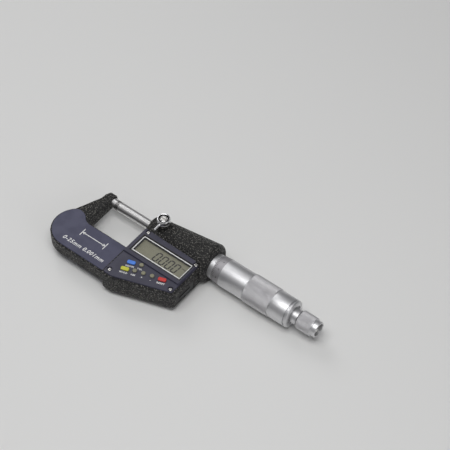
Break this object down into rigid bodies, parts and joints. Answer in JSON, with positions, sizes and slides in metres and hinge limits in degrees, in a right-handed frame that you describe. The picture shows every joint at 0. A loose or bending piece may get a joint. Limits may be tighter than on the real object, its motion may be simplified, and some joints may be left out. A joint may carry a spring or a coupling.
{
  "type": "outside micrometer",
  "caption": "Digital outside micrometer: C-frame in black crackle paint, display housing with buttons, steel spindle, knurled thimble and ratchet stop.",
  "frame": {"origin": "centre of the anvil's measuring face, on the spindle axis", "axes": "+X along the spindle from the anvil to the ratchet, +Y from the bow to the spindle, +Z out of the display"},
  "size_m": [0.1772, 0.0631, 0.0261],
  "materials": {
    "crackle_paint": "black crackle paint",
    "navy_plastic": "satin navy",
    "black_plastic": "fine matt grain",
    "window_clear": "clear with printed border",
    "display_glass": "reflective liquid crystal grey-green",
    "chrome": "satin chrome",
    "ground_steel": "ground",
    "carbide": "lapped",
    "screw_steel": "bright",
    "brass": "turned",
    "board": "solder mask green",
    "board_parts": "moulded",
    "ribbon": "film",
    "rubber": "matt",
    "cell_steel": "nickel plated",
    "blue_button": "soft gloss",
    "yellow_button": "soft gloss",
    "red_button": "soft gloss",
    "grey_button": "soft gloss"
  },
  "bodies": {
    "frame_body": {"frame": "crackle_paint", "anvil": "ground_steel", "anvil_tip": "carbide", "bow_plate_front": "navy_plastic", "bow_plate_back": "navy_plastic", "front_panel": "navy_plastic", "panel_screws": "screw_steel", "lcd_window": "window_clear", "lcd_module": "display_glass", "lcd_holder": "black_plastic", "contact_strips": "rubber", "circuit_board": "board", "board_components": "board_parts", "button_mat": "rubber", "rear_cover": "black_plastic", "rear_cover_seal": "rubber", "rear_cover_screws": "screw_steel", "battery_seal": "rubber", "button_cell": "cell_steel", "battery_contacts": "cell_steel", "data_port_socket": "black_plastic", "spindle_bush": "brass", "lock_shoe": "ground_steel", "stem": "ground_steel", "outer_sleeve": "chrome", "adjusting_nut": "ground_steel", "encoder_stator": "board", "encoder_ribbon": "ribbon"},
    "rotor_body": {"rotor_disc": "board", "rotor_hub": "brass", "rotor_key": "ground_steel"},
    "spindle_body": {"spindle": "ground_steel", "spindle_tip": "carbide", "thimble": "chrome", "thimble_cap": "chrome", "ratchet_base": "chrome", "ratchet_screw": "screw_steel", "ratchet_disc": "ground_steel"},
    "ratchet_body": {"ratchet_knob": "chrome", "ratchet_pawl_ring": "ground_steel", "ratchet_spring": "ground_steel"},
    "lock_body": {"lock_lever": "chrome", "lock_rod": "chrome", "lock_screw": "screw_steel"},
    "battery_cap_body": {"battery_cap": "black_plastic"},
    "port_cover_body": {"data_port_cover": "black_plastic"},
    "button_return_body": {"button_return": "blue_button"},
    "button_hold_body": {"button_hold": "yellow_button"},
    "button_reset_body": {"button_reset": "red_button"},
    "button_tolerance_body": {"button_tolerance": "grey_button"},
    "button_absolute_body": {"button_absolute": "grey_button"},
    "button_plus_body": {"button_plus": "grey_button"},
    "button_minus_body": {"button_minus": "grey_button"}
  },
  "joints": [
    {"name": "thimble_turn", "type": "hinge", "parent": "frame_body", "child": "rotor_body", "pos_m": [0.062, 0, 0], "axis": [1, 0, 0], "range_deg": [0, 18288]},
    {"name": "spindle_feed", "type": "slide", "parent": "rotor_body", "child": "spindle_body", "axis": [1, 0, 0], "range_m": [0, 0.0254]},
    {"name": "ratchet_slip", "type": "hinge", "parent": "spindle_body", "child": "ratchet_body", "pos_m": [0.149, 0, 0], "axis": [1, 0, 0], "continuous": true},
    {"name": "lock_turn", "type": "hinge", "parent": "frame_body", "child": "lock_body", "pos_m": [0.037, 0, 0.013], "axis": [0, 0, 1], "range_deg": [-75, 0]},
    {"name": "battery_cap_turn", "type": "hinge", "parent": "frame_body", "child": "battery_cap_body", "pos_m": [0.047, -0.029, -0.01], "axis": [0, 0, -1], "range_deg": [0, 60]},
    {"name": "port_cover_pull", "type": "slide", "parent": "frame_body", "child": "port_cover_body", "axis": [1, 0, 0], "range_m": [0, 0.006]},
    {"name": "button_return_press", "type": "slide", "parent": "frame_body", "child": "button_return_body", "axis": [0, 0, -1], "range_m": [0, 0.0004], "stiffness_N_per_m": 400, "springref_m": -0.0005},
    {"name": "button_hold_press", "type": "slide", "parent": "frame_body", "child": "button_hold_body", "axis": [0, 0, -1], "range_m": [0, 0.0004], "stiffness_N_per_m": 400, "springref_m": -0.0005},
    {"name": "button_reset_press", "type": "slide", "parent": "frame_body", "child": "button_reset_body", "axis": [0, 0, -1], "range_m": [0, 0.0004], "stiffness_N_per_m": 400, "springref_m": -0.0005},
    {"name": "button_tolerance_press", "type": "slide", "parent": "frame_body", "child": "button_tolerance_body", "axis": [0, 0, -1], "range_m": [0, 0.0004], "stiffness_N_per_m": 400, "springref_m": -0.0005},
    {"name": "button_absolute_press", "type": "slide", "parent": "frame_body", "child": "button_absolute_body", "axis": [0, 0, -1], "range_m": [0, 0.0004], "stiffness_N_per_m": 400, "springref_m": -0.0005},
    {"name": "button_plus_press", "type": "slide", "parent": "frame_body", "child": "button_plus_body", "axis": [0, 0, -1], "range_m": [0, 0.0004], "stiffness_N_per_m": 400, "springref_m": -0.0005},
    {"name": "button_minus_press", "type": "slide", "parent": "frame_body", "child": "button_minus_body", "axis": [0, 0, -1], "range_m": [0, 0.0004], "stiffness_N_per_m": 400, "springref_m": -0.0005}
  ],
  "couplings": [
    {"joint": "thimble_turn", "follows": "spindle_feed", "rad_per_m": 12566}
  ]
}
